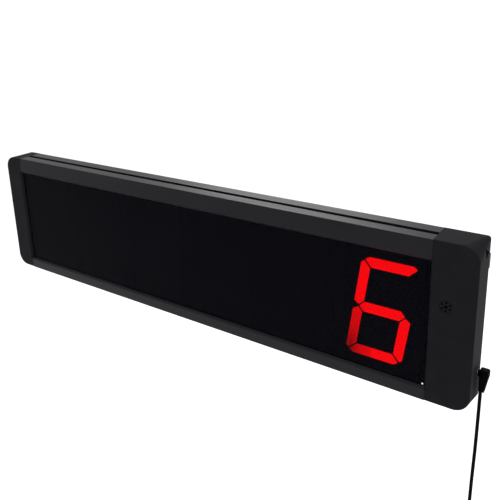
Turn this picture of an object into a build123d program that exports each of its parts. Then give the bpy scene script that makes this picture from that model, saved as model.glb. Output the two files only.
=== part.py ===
from build123d import *
import math
import os

# Wall-mounted gym round timer: six red seven-segment digits behind a smoked lens.
# Millimetres. X to the viewer's right, Y into the wall, Z up.
# The origin is on the wall face, midway between the round mouths of the two hanging keyholes.

# Housing
HOUSING_LENGTH = 618.0
HOUSING_HEIGHT = 155.0
HOUSING_DEPTH = 32.0
WALL_GAP = 6.0
HANGER_DROP = 24.0
RIGHT_X = HOUSING_LENGTH / 2
LEFT_X = -HOUSING_LENGTH / 2
BACK_Y = -WALL_GAP
FRONT_Y = BACK_Y - HOUSING_DEPTH
TOP_Z = HANGER_DROP
BOTTOM_Z = TOP_Z - HOUSING_HEIGHT
RIGHT_SEAM_X = RIGHT_X - 39.0
LEFT_SEAM_X = LEFT_X + 30.5
WALL = 1.8
CAP_WALL = 2.2
CORNER_RADIUS = 15.0
BACK_CORNER_RADIUS = 2.6
CAP_EDGE = 1.2
TONGUE = 9.0
TONGUE_THICKNESS = 2.4
CAP_SCREW_Z = (-34.0, -104.0)
LEFT_SCREW_X = LEFT_SEAM_X + TONGUE / 2
RIGHT_SCREW_X = RIGHT_SEAM_X - TONGUE / 2
EDGE_RADIUS = 0.5

# Window in the front frame, whose face rises from its outer edge to its inner edge
TOP_RAIL = 19.2
BOTTOM_RAIL = 14.0
WINDOW_TOP_Z = TOP_Z - TOP_RAIL
WINDOW_BOTTOM_Z = BOTTOM_Z + BOTTOM_RAIL
CROWN = 1.4
FLARE = 2.4
LIP_FRONT_Y = FRONT_Y + 0.8
LIP_BACK_Y = FRONT_Y + 1.6

# Lens
LENS_FRONT_Y = LIP_BACK_Y + 0.1
LENS_THICKNESS = 2.0
LENS_OVERLAP = 2.0
LENS_NOTCH = 3.4

# T-slot along the top
SLOT_Y = FRONT_Y + 15.5
SLOT_WIDTH = 6.0
SLOT_SKIN = 2.0
CHANNEL_WIDTH = 13.0
CHANNEL_DEPTH = 5.0
SLOT_WALL = 1.6

# Back panel, flush between the rear legs of the two profiles
PANEL_TOP_Z = TOP_Z - 12.0
PANEL_BOTTOM_Z = BOTTOM_Z + 12.0
LIP_REACH = 3.4

# Digits
DIGIT_COUNT = 6
DIGIT_PITCH = 91.6
LAST_DIGIT_X = 225.8
DIGIT_Z = -57.3
DIGIT_SLANT = 0.15
DIGIT_HALF_WIDTH = 27.6
DIGIT_HALF_HEIGHT = 50.7
BAR = 10.1
STROKE = 9.4
REFLECTOR_WIDTH = 77.0
REFLECTOR_HEIGHT = 118.0
REFLECTOR_FRONT_Y = FRONT_Y + 5.2
DIFFUSER_THICKNESS = 3.0
LED_SIZE = 3.2
LED_PITCH = 11.0
COLON_DOT_RADIUS = 5.0
COLON_WIDTH = 12.0

# Boards
BOARD_FRONT_Y = FRONT_Y + 17.0
BOARD_THICKNESS = 1.6
BOARD_BACK_Y = BOARD_FRONT_Y + BOARD_THICKNESS
RIB = 1.2
BOARD_RIBS_Y = (BOARD_FRONT_Y - RIB - 0.1, BOARD_BACK_Y + 0.1)
LENS_RIB_Y = LENS_FRONT_Y + LENS_THICKNESS + 0.1
CONTROL_X0 = RIGHT_SEAM_X + 3.0
CONTROL_X1 = RIGHT_X - 4.0
CONTROL_Z0 = -120.0
CONTROL_Z1 = 12.0

CONNECTOR_Z = -40.0
DISPLAY_CONNECTOR_X = RIGHT_SEAM_X - 24.0
CONTROL_CONNECTOR_X = RIGHT_SEAM_X + 14.0
COIN_CELL_X = (CONTROL_X0 + CONTROL_X1) / 2 + 0.5
COIN_CELL_Z = -8.0

# Buzzer and its grille: a centre hole, a ring of holes and a shallow groove round them
GRILLE_X = 284.3
GRILLE_Z = -33.7
GRILLE_CENTRE_RADIUS = 1.7
GRILLE_HOLES = 6
GRILLE_HOLE_RADIUS = 1.1
GRILLE_RING = 3.75
GRILLE_GROOVE_RADIUS = 5.7
GRILLE_GROOVE = 0.5

# Power inlet, plug and lead
INLET_Y = FRONT_Y + 24.0
INLET_Z = -102.5
BARREL_RADIUS = 2.75
PIN_RADIUS = 1.05
RUNNING_GAP = 0.05
PLUG_GAP = 0.3
PLUG_COLLAR = 1.3
PLUG_COLLAR_RADIUS = 3.0
PLUG_WIDTH = 8.8
PLUG_DEPTH = 8.2
PLUG_NECK = 5.2
PLUG_SHOULDER = 5.6
PLUG_TOP_Z = INLET_Z + 5.0
RELIEF_LENGTH = 3.5
CORD_DIAMETER = 3.2
CORD_X = RIGHT_X + 3.4
RELIEF_BOTTOM_Z = PLUG_TOP_Z - 22.0
COIL_RADIUS = 17.4
COIL_TURNS = 12
COIL_Z = -276.0
COIL_X1 = CORD_X - 1.2
COIL_X0 = COIL_X1 - COIL_TURNS * CORD_DIAMETER
ADAPTER_TOP_Z = COIL_Z - 46.0
ADAPTER_Y = INLET_Y - 8.0
ADAPTER_SIZE = (30.0, 42.0, 64.0)
BOOT_LENGTH = 10.0

# Hangers
HANGER_X = 288.0
KEYHOLE_RADIUS = 4.5
KEYHOLE_SLOT_RADIUS = 2.4
KEYHOLE_RISE = 7.5
HANGER_SCREW_Z = 17.6
SHEET = 1.5

# Small pan-head screws
SCREW_RADIUS = 1.25
SCREW_HEAD_RADIUS = 2.7
SCREW_HEAD_HEIGHT = 1.8


def block(x0, x1, y0, y1, z0, z1):
    """Box between two corners."""
    box = Box(x1 - x0, y1 - y0, z1 - z0)
    return Pos((x0 + x1) / 2, (y0 + y1) / 2, (z0 + z1) / 2) * box


def bar_x(outline, x0, x1):
    """Prism along X with an outline given as (y, z) points."""
    face = Plane.YZ.offset(x0) * Polygon(*outline, align=None)
    return extrude(face, amount=x1 - x0, dir=(1, 0, 0))


def slab_y(outline, y0, y1):
    """Plate across Y with an outline given as (x, z) points."""
    face = Plane.XZ.offset(-y0) * Polygon(*outline, align=None)
    return extrude(face, amount=y1 - y0, dir=(0, 1, 0))


def post_z(outline, z0, z1):
    """Prism along Z with an outline given as (x, y) points."""
    face = Plane.XY.offset(z0) * Polygon(*outline, align=None)
    return extrude(face, amount=z1 - z0, dir=(0, 0, 1))


def rod_x(radius, x0, x1, y, z):
    """Cylinder along X."""
    return Pos((x0 + x1) / 2, y, z) * Rot(0, 90, 0) * Cylinder(radius, x1 - x0)


def rod_y(radius, y0, y1, x, z):
    """Cylinder along Y."""
    return Pos(x, (y0 + y1) / 2, z) * Rot(90, 0, 0) * Cylinder(radius, y1 - y0)


def rod_z(radius, z0, z1, x, y):
    """Cylinder along Z."""
    return Pos(x, y, (z0 + z1) / 2) * Cylinder(radius, z1 - z0)


def near(value, *targets):
    """Whether a coordinate is one of the targets."""
    return any(abs(value - target) < 0.01 for target in targets)


def save(name, *shapes):
    """Write one node, made of one or more separate solids."""
    solids = []
    for shape in shapes:
        solids.extend(shape.solids())
    node = solids[0] if len(solids) == 1 else Compound(children=solids)
    export_step(node, f"parts/{name}.step")


def window_flare():
    """The bevelled throat of the window, wider towards the front."""
    outward = FLARE + 0.6
    middle = ((LEFT_SEAM_X + RIGHT_SEAM_X) / 2, (WINDOW_TOP_Z + WINDOW_BOTTOM_Z) / 2)
    width = RIGHT_SEAM_X - LEFT_SEAM_X
    height = WINDOW_TOP_Z - WINDOW_BOTTOM_Z
    inner = Plane.XZ.offset(-LIP_FRONT_Y) * Pos(*middle) * Rectangle(width, height)
    wide = Rectangle(width + 2 * outward, height + 2 * outward)
    outer = Plane.XZ.offset(outward - LIP_FRONT_Y) * Pos(*middle) * wide
    return loft([inner, outer], ruled=True)


def crown_y(distance, rail):
    """Depth of the frame's sloping face, at a distance in from its outer edge."""
    return FRONT_Y - CROWN * distance / rail


def soften(profile, edge_z):
    """Round a profile's two outer corners, along its length."""
    corners = [
        edge
        for edge in profile.edges().filter_by(Axis.X)
        if near(edge.center().Z, edge_z) and near(edge.center().Y, FRONT_Y, BACK_Y)
    ]
    return fillet(corners, EDGE_RADIUS)


def panel_lip(z):
    """Ledge behind one long edge of the back panel."""
    y1 = BACK_Y - WALL
    return block(LEFT_SEAM_X, RIGHT_SEAM_X, y1 - WALL, y1, z - LIP_REACH, z + LIP_REACH)


def top_profile():
    """Upper aluminium profile: front rail, T-slot, ribs for lens and board, rear leg and its lip."""
    x0, x1 = LEFT_SEAM_X, RIGHT_SEAM_X
    rail = [
        (FRONT_Y, TOP_Z),
        (FRONT_Y - CROWN, WINDOW_TOP_Z),
        (LIP_BACK_Y, WINDOW_TOP_Z),
        (LIP_BACK_Y, TOP_Z),
    ]
    body = bar_x(rail, x0, x1)
    body += block(x0, x1, LIP_BACK_Y, BACK_Y, TOP_Z - WALL, TOP_Z)
    floor_z = TOP_Z - SLOT_SKIN - CHANNEL_DEPTH
    half = CHANNEL_WIDTH / 2
    body += block(x0, x1, SLOT_Y - half - SLOT_WALL, SLOT_Y + half + SLOT_WALL, floor_z - SLOT_WALL, TOP_Z)
    body -= block(x0, x1, SLOT_Y - half, SLOT_Y + half, floor_z, TOP_Z - SLOT_SKIN)
    body -= block(x0, x1, SLOT_Y - SLOT_WIDTH / 2, SLOT_Y + SLOT_WIDTH / 2, floor_z, TOP_Z + 1)
    body += block(x0, x1, LENS_RIB_Y, LENS_RIB_Y + RIB, WINDOW_TOP_Z + 0.4, TOP_Z - WALL)
    for y in BOARD_RIBS_Y:
        body += block(x0, x1, y, y + RIB, WINDOW_TOP_Z + 4.2, floor_z - SLOT_WALL)
    body += block(x0, x1, BACK_Y - WALL, BACK_Y, PANEL_TOP_Z, TOP_Z)
    body += panel_lip(PANEL_TOP_Z)
    return soften(body - window_flare(), TOP_Z)


def bottom_profile():
    """Lower aluminium profile: front rail, floor, ribs for lens and board, rear leg and its lip."""
    x0, x1 = LEFT_SEAM_X, RIGHT_SEAM_X
    floor_z = BOTTOM_Z + WALL
    rail = [
        (FRONT_Y, BOTTOM_Z),
        (FRONT_Y - CROWN, WINDOW_BOTTOM_Z),
        (LIP_BACK_Y, WINDOW_BOTTOM_Z),
        (LIP_BACK_Y, BOTTOM_Z),
    ]
    body = bar_x(rail, x0, x1)
    body += block(x0, x1, LIP_BACK_Y, BACK_Y, BOTTOM_Z, floor_z)
    body += block(x0, x1, LENS_RIB_Y, LENS_RIB_Y + RIB, floor_z, WINDOW_BOTTOM_Z - 0.4)
    for y in BOARD_RIBS_Y:
        body += block(x0, x1, y, y + RIB, floor_z, WINDOW_BOTTOM_Z - 5.0)
    body += block(x0, x1, BACK_Y - WALL, BACK_Y, BOTTOM_Z, PANEL_BOTTOM_Z)
    body += panel_lip(PANEL_BOTTOM_Z)
    return soften(body - window_flare(), BOTTOM_Z)


def back_panel():
    """Flat plate between the profiles' rear legs, held to the caps' tongues by four screws."""
    panel = block(LEFT_SEAM_X, RIGHT_SEAM_X, BACK_Y - WALL, BACK_Y, PANEL_BOTTOM_Z + 0.1, PANEL_TOP_Z - 0.1)
    for x in (LEFT_SCREW_X, RIGHT_SCREW_X):
        for z in CAP_SCREW_Z:
            panel -= rod_y(1.7, BACK_Y - WALL - 1, BACK_Y + 1, x, z)
    return panel


def outline(side, y, radius, inset=0.0):
    """Rounded outline of an end cap at depth y; side is +1 for the right end and -1 for the left."""
    width = 120.0
    middle_x = side * (RIGHT_X - width / 2)
    middle_z = (TOP_Z + BOTTOM_Z) / 2
    shape = RectangleRounded(width - 2 * inset, HOUSING_HEIGHT - 2 * inset, radius)
    return Plane.XZ.offset(-y) * Pos(middle_x, middle_z) * shape


def cap_face(side, seam_x):
    """The crowned front of a cap: three shallow slopes that meet in mitres."""
    outer_x = side * RIGHT_X
    width = abs(outer_x - seam_x)
    deep = BACK_Y
    reach = 3.0
    far_x = outer_x - side * width * reach
    side_slope = [
        (outer_x, FRONT_Y),
        (far_x, crown_y(width * reach, width)),
        (far_x, deep),
        (outer_x, deep),
    ]
    fall = HOUSING_HEIGHT
    top_slope = [
        (FRONT_Y, TOP_Z),
        (crown_y(fall, TOP_RAIL), BOTTOM_Z),
        (deep, BOTTOM_Z),
        (deep, TOP_Z),
    ]
    bottom_slope = [
        (FRONT_Y, BOTTOM_Z),
        (crown_y(fall, BOTTOM_RAIL), TOP_Z),
        (deep, TOP_Z),
        (deep, BOTTOM_Z),
    ]
    x0, x1 = sorted((outer_x, far_x))
    start = outline(side, FRONT_Y, CORNER_RADIUS - CAP_EDGE, CAP_EDGE)
    face = extrude(start, amount=2 * CROWN, dir=(0, -1, 0))
    face &= post_z(side_slope, BOTTOM_Z, TOP_Z)
    face &= bar_x(top_slope, x0, x1)
    face &= bar_x(bottom_slope, x0, x1)
    return face


def cap_shell(side, seam_x, back_radius):
    """Hollow end cap, open towards the profile, with a tongue that slides inside its back."""
    sections = [outline(side, BACK_Y, back_radius)]
    for angle in (0, 30, 60, 90):
        inset = CAP_EDGE * (1 - math.cos(math.radians(angle)))
        depth = CAP_EDGE * (1 - math.sin(math.radians(angle)))
        sections.append(outline(side, FRONT_Y + depth, CORNER_RADIUS - inset, inset))
    body = loft(sections, ruled=True)
    body += cap_face(side, seam_x)
    inner_back = max(back_radius - CAP_WALL, 0.8)
    front = outline(side, FRONT_Y + CAP_WALL, CORNER_RADIUS - CAP_WALL, CAP_WALL)
    back = outline(side, BACK_Y - CAP_WALL, inner_back, CAP_WALL)
    body -= loft([front, back], ruled=True)
    x0, x1 = sorted((seam_x, seam_x - side * 200))
    body -= block(x0, x1, FRONT_Y - 10, BACK_Y + 10, BOTTOM_Z - 10, TOP_Z + 10)
    body -= window_flare()
    tongue_y1 = BACK_Y - WALL
    t0, t1 = sorted((seam_x - side * TONGUE, seam_x + side * 3))
    tongue = block(t0, t1, tongue_y1 - TONGUE_THICKNESS, tongue_y1, -112, 6)
    body += tongue
    return body


def drill_cap(cap, side, screw_x):
    """Pilot holes for the screws in a cap's tongue and for those of its hanger."""
    for z in CAP_SCREW_Z:
        cap -= rod_y(SCREW_RADIUS, BACK_Y - WALL - 3, BACK_Y, screw_x, z)
    for way in (-1, 1):
        cap -= rod_y(SCREW_RADIUS, BACK_Y - 3, BACK_Y + 1, side * HANGER_X, way * HANGER_SCREW_Z)
    return cap


def left_end_cap():
    body = cap_shell(-1, LEFT_SEAM_X, CORNER_RADIUS)
    return drill_cap(body, -1, LEFT_SCREW_X)


def right_end_cap():
    """The control-side cap: buzzer grille, inlet hole and a small opening high in its side."""
    body = drill_cap(cap_shell(1, RIGHT_SEAM_X, BACK_CORNER_RADIUS), 1, RIGHT_SCREW_X)
    front = FRONT_Y - 2 * CROWN
    body -= rod_y(GRILLE_CENTRE_RADIUS, front, FRONT_Y + 5, GRILLE_X, GRILLE_Z)
    for i in range(GRILLE_HOLES):
        angle = math.tau * (i + 0.5) / GRILLE_HOLES
        x = GRILLE_X + GRILLE_RING * math.cos(angle)
        z = GRILLE_Z + GRILLE_RING * math.sin(angle)
        body -= rod_y(GRILLE_HOLE_RADIUS, front, FRONT_Y + 5, x, z)
    face_y = crown_y(RIGHT_X - GRILLE_X, RIGHT_X - RIGHT_SEAM_X)
    groove = rod_y(GRILLE_GROOVE_RADIUS, face_y - 1, face_y + GRILLE_GROOVE, GRILLE_X, GRILLE_Z)
    island = rod_y(GRILLE_GROOVE_RADIUS - GRILLE_GROOVE, face_y - 2, face_y + 2, GRILLE_X, GRILLE_Z)
    body -= groove - island
    body -= rod_x(4.4, RIGHT_X - 5, RIGHT_X + 1, INLET_Y, INLET_Z)
    body -= side_opening()
    return body


def side_opening():
    """Three-cornered opening through the cap's side, just under its top rear corner."""
    middle = (FRONT_Y + 21.5, 12.2)
    corners = [(-6.5, 6.3), (7.4, -1.6), (-1.6, -5.2)]
    points = [(middle[0] + y, middle[1] + z) for y, z in corners]
    cut = bar_x(points, RIGHT_X - 12, RIGHT_X + 2)
    return fillet(cut.edges().filter_by(Axis.X), 0.8)


def front_lens():
    z0 = WINDOW_BOTTOM_Z - LENS_OVERLAP
    z1 = WINDOW_TOP_Z + LENS_OVERLAP
    x0 = LEFT_SEAM_X + 0.2
    x1 = RIGHT_SEAM_X - 0.2
    points = [
        (x0, z0),
        (x1 - LENS_NOTCH, z0),
        (x1, z0 + LENS_NOTCH),
        (x1, z1),
        (x0, z1),
    ]
    return slab_y(points, LENS_FRONT_Y, LENS_FRONT_Y + LENS_THICKNESS)


def lens_seals():
    """Foam strips that press the lens's two ends forward against the caps."""
    y0 = LENS_FRONT_Y + LENS_THICKNESS
    z0 = WINDOW_BOTTOM_Z - 0.2
    z1 = WINDOW_TOP_Z + 0.2
    left = block(LEFT_SEAM_X + 0.4, LEFT_SEAM_X + 3.4, y0, y0 + 1.2, z0, z1)
    right = block(RIGHT_SEAM_X - 3.4, RIGHT_SEAM_X - 0.4, y0, y0 + 1.2, z0, z1)
    return [left, right]


def digit_x(index):
    """Centre of a digit; index 0 is the leftmost."""
    return LAST_DIGIT_X - DIGIT_PITCH * (DIGIT_COUNT - 1 - index)


def segment_points():
    """Outline of each of the seven segments of an upright digit centred on the origin."""
    w, h = DIGIT_HALF_WIDTH, DIGIT_HALF_HEIGHT
    inner_x = w - STROKE
    inner_z = h - BAR
    top = [
        (-w + 7.4, h),
        (w - 7.4, h),
        (w - 3.3, h - 2.6),
        (inner_x - 0.7, inner_z),
        (0.7 - inner_x, inner_z),
        (3.3 - w, h - 2.6),
    ]
    upper_right = [
        (w, h - 6.6),
        (w - 2.3, h - 3.9),
        (inner_x, inner_z - 1.1),
        (inner_x, 6.0),
        (w - 4.9, 1.1),
        (w, 4.4),
    ]
    middle = [
        (inner_x - 0.9, BAR / 2),
        (w - 5.6, 0),
        (inner_x - 0.9, -BAR / 2),
        (0.9 - inner_x, -BAR / 2),
        (5.6 - w, 0),
        (0.9 - inner_x, BAR / 2),
    ]
    lower_right = [(x, -z) for x, z in upper_right]
    return {
        "a": top,
        "b": upper_right,
        "c": lower_right,
        "d": [(x, -z) for x, z in top],
        "e": [(-x, z) for x, z in lower_right],
        "f": [(-x, z) for x, z in upper_right],
        "g": middle,
    }


def segment(letter, centre_x, y0, y1):
    """One slanted segment with rounded corners, as a plate between two depths."""
    points = []
    for x, z in segment_points()[letter]:
        points.append((centre_x + x + DIGIT_SLANT * z, DIGIT_Z + z))
    plate = slab_y(points, y0, y1)
    return fillet(plate.edges().filter_by(Axis.Y), 0.9)


def reflector(index):
    """Black digit body with a well for each segment."""
    x = digit_x(index)
    body = block(
        x - REFLECTOR_WIDTH / 2,
        x + REFLECTOR_WIDTH / 2,
        REFLECTOR_FRONT_Y,
        BOARD_FRONT_Y,
        DIGIT_Z - REFLECTOR_HEIGHT / 2,
        DIGIT_Z + REFLECTOR_HEIGHT / 2,
    )
    for letter in "abcdefg":
        body -= segment(letter, x, REFLECTOR_FRONT_Y - 1, BOARD_FRONT_Y + 1)
    return body


def diffusers(index, letters):
    """Translucent fillings at the front of the wells."""
    y1 = REFLECTOR_FRONT_Y + DIFFUSER_THICKNESS
    return [segment(letter, digit_x(index), REFLECTOR_FRONT_Y, y1) for letter in letters]


def led(x, z):
    """One surface-mounted light-emitting chip on the front of the display board."""
    half = LED_SIZE / 2
    return block(x - half, x + half, BOARD_FRONT_Y - 1.1, BOARD_FRONT_Y, z - half, z + half)


def segment_leds():
    """Three light-emitting chips on the board behind every segment."""
    leds = []
    for index in range(DIGIT_COUNT):
        for points in segment_points().values():
            xs = [x for x, _ in points]
            zs = [z for _, z in points]
            wide = max(xs) - min(xs) > max(zs) - min(zs)
            for step in (-LED_PITCH, 0.0, LED_PITCH):
                x = (max(xs) + min(xs)) / 2 + (step if wide else 0)
                z = (max(zs) + min(zs)) / 2 + (0 if wide else step)
                leds.append(led(digit_x(index) + x + DIGIT_SLANT * z, DIGIT_Z + z))
    return leds


def colon_x(number):
    """Centre of a colon, in the gap after the second or the fourth digit."""
    return (digit_x(2 * number - 1) + digit_x(2 * number)) / 2


def colon_block(number):
    """Narrow body with two round wells between two digit bodies."""
    x = colon_x(number)
    half = REFLECTOR_HEIGHT / 2
    body = block(
        x - COLON_WIDTH / 2,
        x + COLON_WIDTH / 2,
        REFLECTOR_FRONT_Y,
        BOARD_FRONT_Y,
        DIGIT_Z - half,
        DIGIT_Z + half,
    )
    for dot_x, dot_z in colon_dot_centres(number):
        body -= rod_y(COLON_DOT_RADIUS, REFLECTOR_FRONT_Y - 1, BOARD_FRONT_Y + 1, dot_x, dot_z)
    return body


def colon_dot_centres(number):
    return [(colon_x(number), DIGIT_Z + 20.0), (colon_x(number), DIGIT_Z - 20.0)]


def colon_dots():
    dots = []
    y1 = REFLECTOR_FRONT_Y + DIFFUSER_THICKNESS
    for number in (1, 2):
        for x, z in colon_dot_centres(number):
            dots.append(rod_y(COLON_DOT_RADIUS, REFLECTOR_FRONT_Y, y1, x, z))
    return dots


def colon_leds():
    leds = []
    for number in (1, 2):
        for x, z in colon_dot_centres(number):
            leds.append(led(x, z))
    return leds


def display_board():
    z0 = BOTTOM_Z + WALL + 0.4
    z1 = TOP_Z - SLOT_SKIN - CHANNEL_DEPTH - 2.0
    return block(
        LEFT_SEAM_X + 1.0, RIGHT_SEAM_X - 1.0, BOARD_FRONT_Y, BOARD_BACK_Y, z0, z1
    )


def driver_chips():
    """One driver chip with gull-wing legs behind each digit."""
    chips = []
    for index in range(DIGIT_COUNT):
        x = digit_x(index)
        body = block(x - 6.5, x + 6.5, BOARD_BACK_Y + 0.2, BOARD_BACK_Y + 2.5, DIGIT_Z - 3.8, DIGIT_Z + 3.8)
        for leg in range(10):
            leg_x = x - 5.7 + 1.27 * leg
            for way in (-1, 1):
                z0, z1 = sorted((DIGIT_Z + way * 3.8, DIGIT_Z + way * 5.2))
                body += block(leg_x - 0.2, leg_x + 0.2, BOARD_BACK_Y, BOARD_BACK_Y + 1.3, z0, z1)
        chips.append(body)
    return chips


def ribbon_connector(x):
    """Box header on the back of a board, with its mouth facing backwards."""
    y0 = BOARD_BACK_Y
    body = block(x - 4.4, x + 4.4, y0, y0 + 6.0, CONNECTOR_Z - 15, CONNECTOR_Z + 15)
    body -= block(x - 3.0, x + 3.0, y0 + 2.0, y0 + 7.0, CONNECTOR_Z - 13.5, CONNECTOR_Z + 13.5)
    return body


def ribbon_cable():
    """Flat cable bridging the two headers, with a crimped plug at each end."""
    y0 = BOARD_BACK_Y + 2.2
    y1 = BOARD_BACK_Y + 8.0
    z0, z1 = CONNECTOR_Z - 13.2, CONNECTOR_Z + 13.2
    x0, x1 = DISPLAY_CONNECTOR_X, CONTROL_CONNECTOR_X
    cable = block(x0 - 2.7, x0 + 2.7, y0, y1, z0, z1)
    cable += block(x1 - 2.7, x1 + 2.7, y0, y1, z0, z1)
    cable += block(x0, x1, y1 - 1.2, y1, z0 + 1, z1 - 1)
    return cable


def board_mounts():
    """Hole centres in the control board."""
    xs = (CONTROL_X0 + 4.0, CONTROL_X1 - 4.0)
    zs = (CONTROL_Z0 + 5.0, CONTROL_Z1 - 8.0)
    return [(x, z) for x in xs for z in zs]


def control_board():
    board = block(CONTROL_X0, CONTROL_X1, BOARD_FRONT_Y, BOARD_BACK_Y, CONTROL_Z0, CONTROL_Z1 - 4)
    for x, z in board_mounts():
        board -= rod_y(1.6, BOARD_FRONT_Y - 1, BOARD_BACK_Y + 1, x, z)
    return board


def board_standoffs():
    """Hexagonal pillars from the cap's back to the control board."""
    pillars = []
    for x, z in board_mounts():
        length = BACK_Y - CAP_WALL - BOARD_BACK_Y
        face = Plane.XZ.offset(-BOARD_BACK_Y) * Pos(x, z) * RegularPolygon(2.8, 6)
        pillar = extrude(face, amount=length, dir=(0, 1, 0))
        pillar -= rod_y(SCREW_RADIUS, BOARD_BACK_Y - 1, BOARD_BACK_Y + 7, x, z)
        pillars.append(pillar)
    return pillars


def pan_screw(x, z, seat_y, way, length):
    """Cross-head screw along Y. Its head is on the side that way points to."""
    top_y = seat_y + way * SCREW_HEAD_HEIGHT
    head0, head1 = sorted((seat_y, top_y))
    screw = rod_y(SCREW_HEAD_RADIUS, head0, head1, x, z)
    rims = screw.edges().filter_by(GeomType.CIRCLE)
    screw = fillet([rim for rim in rims if near(rim.center().Y, top_y)], SCREW_HEAD_HEIGHT * 0.45)
    cross0, cross1 = sorted((seat_y + way * SCREW_HEAD_HEIGHT * 0.4, top_y + way))
    arm, half = SCREW_HEAD_RADIUS / 2, 0.35
    screw -= block(x - half, x + half, cross0, cross1, z - arm, z + arm)
    screw -= block(x - arm, x + arm, cross0, cross1, z - half, z + half)
    shank0, shank1 = sorted((seat_y, seat_y - way * length))
    return screw + rod_y(SCREW_RADIUS, shank0, shank1, x, z)


def board_screws():
    return [pan_screw(x, z, BOARD_FRONT_Y, -1, 6.0) for x, z in board_mounts()]


def case_screws():
    """Screws in the case's back: four through the panel into the caps, two in each hanger."""
    screws = [pan_screw(x, z, BACK_Y, 1, 4.0) for x in (LEFT_SCREW_X, RIGHT_SCREW_X) for z in CAP_SCREW_Z]
    for x in (-HANGER_X, HANGER_X):
        for z in (-HANGER_SCREW_Z, HANGER_SCREW_Z):
            screws.append(pan_screw(x, z, BACK_Y + SHEET, 1, 4.0))
    return screws


def microcontroller():
    x = (CONTROL_X0 + CONTROL_X1) / 2
    z = -68.0
    body = block(x - 5, x + 5, BOARD_BACK_Y + 0.2, BOARD_BACK_Y + 1.8, z - 5, z + 5)
    for leg in range(11):
        step = -4.0 + 0.8 * leg
        for way in (-1, 1):
            a0, a1 = sorted((way * 5.0, way * 6.2))
            body += block(x + a0, x + a1, BOARD_BACK_Y, BOARD_BACK_Y + 1.0, z + step - 0.18, z + step + 0.18)
            body += block(x + step - 0.18, x + step + 0.18, BOARD_BACK_Y, BOARD_BACK_Y + 1.0, z + a0, z + a1)
    return body


def clock_crystal():
    """Metal can lying on the board beside the microcontroller."""
    x = CONTROL_X0 + 4.0
    can = block(x - 1.9, x + 1.9, BOARD_BACK_Y, BOARD_BACK_Y + 3.4, -82, -71)
    return fillet(can.edges().filter_by(Axis.Y), 1.5)


def buzzer():
    """Round sounder behind the grille, with its sound hole facing forward."""
    y0 = BOARD_FRONT_Y - 9.5
    body = rod_y(6.0, y0, BOARD_FRONT_Y, GRILLE_X, GRILLE_Z)
    body -= rod_y(1.3, y0 - 1, y0 + 3, GRILLE_X, GRILLE_Z)
    return body


def coin_cell_holder():
    """Shallow cup on the front of the control board for the clock's backup cell."""
    y0 = BOARD_FRONT_Y - 5.0
    cup = rod_y(11.6, y0, BOARD_FRONT_Y, COIN_CELL_X, COIN_CELL_Z)
    cup -= rod_y(10.15, y0 - 1, BOARD_FRONT_Y - 1.2, COIN_CELL_X, COIN_CELL_Z)
    return cup


def coin_cell():
    return rod_y(10.0, BOARD_FRONT_Y - 4.4, BOARD_FRONT_Y - 1.2, COIN_CELL_X, COIN_CELL_Z)


def filter_capacitors():
    """Two electrolytic cans standing on the front of the control board."""
    cans = []
    for x, z, radius in ((280.0, -62.0, 4.0), (294.0, -62.0, 4.0)):
        y0 = BOARD_FRONT_Y - 11.0
        can = rod_y(radius, y0, BOARD_FRONT_Y, x, z)
        cans.append(chamfer(can.edges().filter_by(GeomType.CIRCLE).sort_by(Axis.Y)[0], 0.5))
    return cans


def voltage_regulator():
    """Regulator with its metal tab flat on the board."""
    x = 287.0
    body = block(x - 3.3, x + 3.3, BOARD_FRONT_Y - 2.3, BOARD_FRONT_Y, -88, -82)
    body += block(x - 2.7, x + 2.7, BOARD_FRONT_Y - 0.8, BOARD_FRONT_Y, -82, -79.6)
    for leg in (-2.3, 0.0, 2.3):
        body += block(x + leg - 0.4, x + leg + 0.4, BOARD_FRONT_Y - 0.7, BOARD_FRONT_Y, -90.6, -88)
    return body


def remote_receiver():
    """Infrared receiver between the last two digits, looking out through the lens."""
    x = (digit_x(DIGIT_COUNT - 2) + digit_x(DIGIT_COUNT - 1)) / 2
    z = WINDOW_BOTTOM_Z + 8.0
    y1 = BOARD_FRONT_Y
    body = block(x - 2.7, x + 2.7, y1 - 9.0, y1, z - 3.0, z + 3.0)
    dome = Pos(x, y1 - 9.0, z) * Sphere(2.2)
    return body + dome


def jack_body():
    """Moulded inlet block on the back of the control board, its round nose in the cap's side hole."""
    x1 = RIGHT_X - CAP_WALL - 0.2
    x0 = x1 - 12.0
    half = 4.6
    block_body = block(x0, x1, BOARD_BACK_Y, INLET_Y + half, INLET_Z - half, INLET_Z + half)
    nose = rod_x(4.1, x1, RIGHT_X - 0.3, INLET_Y, INLET_Z)
    bore = rod_x(BARREL_RADIUS + RUNNING_GAP, x0 + 1.6, RIGHT_X + 1, INLET_Y, INLET_Z)
    return block_body + nose - bore


def jack_pin():
    """Centre contact of the inlet, with its solder tail behind the block."""
    x0 = RIGHT_X - CAP_WALL - 0.2 - 12.0
    pin = rod_x(PIN_RADIUS, x0 + 1.6, RIGHT_X - 1.5, INLET_Y, INLET_Z)
    tip = pin.edges().filter_by(GeomType.CIRCLE).sort_by(Axis.X)[-1]
    return fillet(tip, PIN_RADIUS * 0.8)


def jack_tail():
    """Flat solder lugs from the inlet's back down to the board."""
    x0 = RIGHT_X - CAP_WALL - 0.2 - 12.0
    lug = block(x0 - 0.8, x0, BOARD_BACK_Y, INLET_Y + 2.0, INLET_Z - 1.2, INLET_Z + 1.2)
    side = block(x0 + 4.0, x0 + 6.4, BOARD_BACK_Y, INLET_Y + 1.0, INLET_Z + 4.6, INLET_Z + 5.2)
    return [lug, side]


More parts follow.
